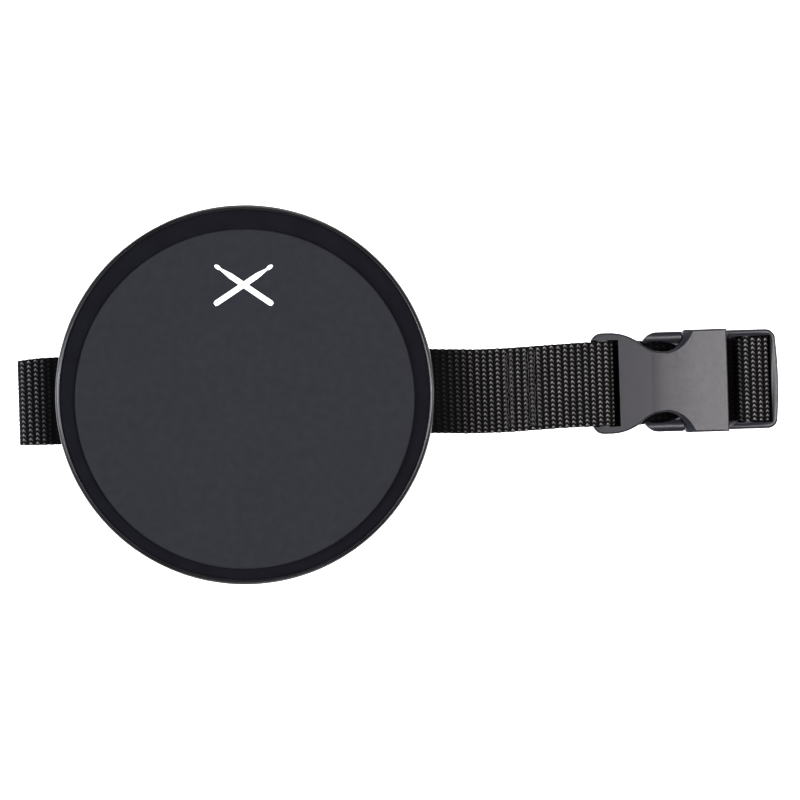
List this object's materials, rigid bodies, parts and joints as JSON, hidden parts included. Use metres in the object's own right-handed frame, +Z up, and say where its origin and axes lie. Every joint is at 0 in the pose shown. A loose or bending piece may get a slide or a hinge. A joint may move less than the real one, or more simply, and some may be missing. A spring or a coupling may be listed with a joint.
{
  "type": "practice pad",
  "caption": "Round knee practice pad: grey rubber face on foam in a shallow black tray and saddle base, with a webbing strap closed by a side-release buckle.",
  "frame": {"origin": "on the resting plane, straight under the centre of the round pad, at the underside of the strap's lower run", "axes": "+Z up through the pad to the playing face; +X towards the buckle; +Y to the player's left when +X points right"},
  "size_m": [0.3419, 0.168, 0.0357],
  "materials": {
    "playing_rubber": "matte moulded rubber",
    "foam_black": "fine closed-cell foam",
    "fibreboard": "bare hardboard",
    "moulded_black": "satin moulded plastic",
    "cushion_foam": "fabric-faced foam",
    "screw_steel": "zinc plated",
    "webbing": "woven polypropylene",
    "stitch_thread": "bonded nylon thread",
    "buckle_acetal": "satin moulded acetal"
  },
  "bodies": {
    "pad": {"base_cradle": "moulded_black", "rim_tray": "moulded_black", "backing_board": "fibreboard", "foam_underlay": "foam_black", "strike_disc": "playing_rubber", "cushion_front": "cushion_foam", "cushion_back": "cushion_foam", "foot_screws": "screw_steel", "board_screws": "screw_steel"},
    "strap": {"strap_upper_run": "webbing", "strap_left_fold": "webbing", "strap_floor_run": "webbing", "strap_socket_loop": "webbing", "bar_tack_stitches": "stitch_thread", "buckle_socket": "buckle_acetal"},
    "plug": {"buckle_plug": "buckle_acetal", "strap_adjuster_run": "webbing", "strap_adjuster_wrap": "webbing", "strap_tail": "webbing"},
    "latch_arm_front": {"latch_arm_front": "buckle_acetal"},
    "latch_arm_back": {"latch_arm_back": "buckle_acetal"}
  },
  "joints": [
    {"name": "strap_slide", "type": "slide", "parent": "pad", "child": "strap", "axis": [0.9995, 0.0314, 0], "range_m": [-0.008, 0.008]},
    {"name": "buckle_release", "type": "slide", "parent": "strap", "child": "plug", "axis": [0.9995, 0.0314, 0], "range_m": [0, 0.046], "deforming": ["latch_arm_front", "latch_arm_back"]},
    {"name": "latch_front_squeeze", "type": "hinge", "parent": "plug", "child": "latch_arm_front", "pos_m": [0.21105, -0.00788, 0.0096], "axis": [0, 0, -1], "range_deg": [0, 8], "stiffness_Nm_per_rad": 0.4},
    {"name": "latch_back_squeeze", "type": "hinge", "parent": "plug", "child": "latch_arm_back", "pos_m": [0.21014, 0.02111, 0.0096], "axis": [0, 0, 1], "range_deg": [0, 8], "stiffness_Nm_per_rad": 0.4}
  ]
}
